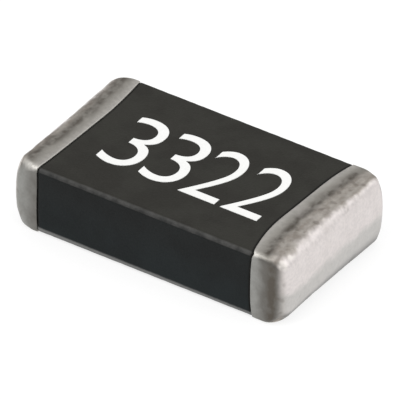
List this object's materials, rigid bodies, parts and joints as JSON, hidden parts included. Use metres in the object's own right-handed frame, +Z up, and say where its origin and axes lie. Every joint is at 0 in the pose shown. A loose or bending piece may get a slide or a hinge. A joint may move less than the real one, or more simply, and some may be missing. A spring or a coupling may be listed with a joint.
{
  "type": "chip resistor",
  "caption": "Surface-mount thick-film chip resistor: a dark coated ceramic block with rounded tin-plated end caps that solder flat to a circuit board.",
  "frame": {"origin": "under the middle of the chip, on the plane that it stands on", "axes": "+X along the length towards the right cap, +Y across the width, +Z up towards the printed face"},
  "size_m": [0.002, 0.0012, 0.0005],
  "materials": {
    "ceramic": "matt fired alumina",
    "electrode": "matt printed silver",
    "resistive_film": "matt fired film",
    "glass_coat": "fired glass glaze",
    "coat": "satin black coat",
    "silver": "matt dipped silver",
    "nickel": "satin plating",
    "tin": "dull mottled tin plating"
  },
  "bodies": {
    "root": {"ceramic_substrate": "ceramic", "left_top_electrode": "electrode", "right_top_electrode": "electrode", "left_bottom_electrode": "electrode", "right_bottom_electrode": "electrode", "resistive_film": "resistive_film", "glass_coat": "glass_coat", "protective_coat": "coat", "left_silver_terminal": "silver", "right_silver_terminal": "silver", "left_nickel_barrier": "nickel", "right_nickel_barrier": "nickel", "left_tin_cap": "tin", "right_tin_cap": "tin"}
  },
  "joints": []
}
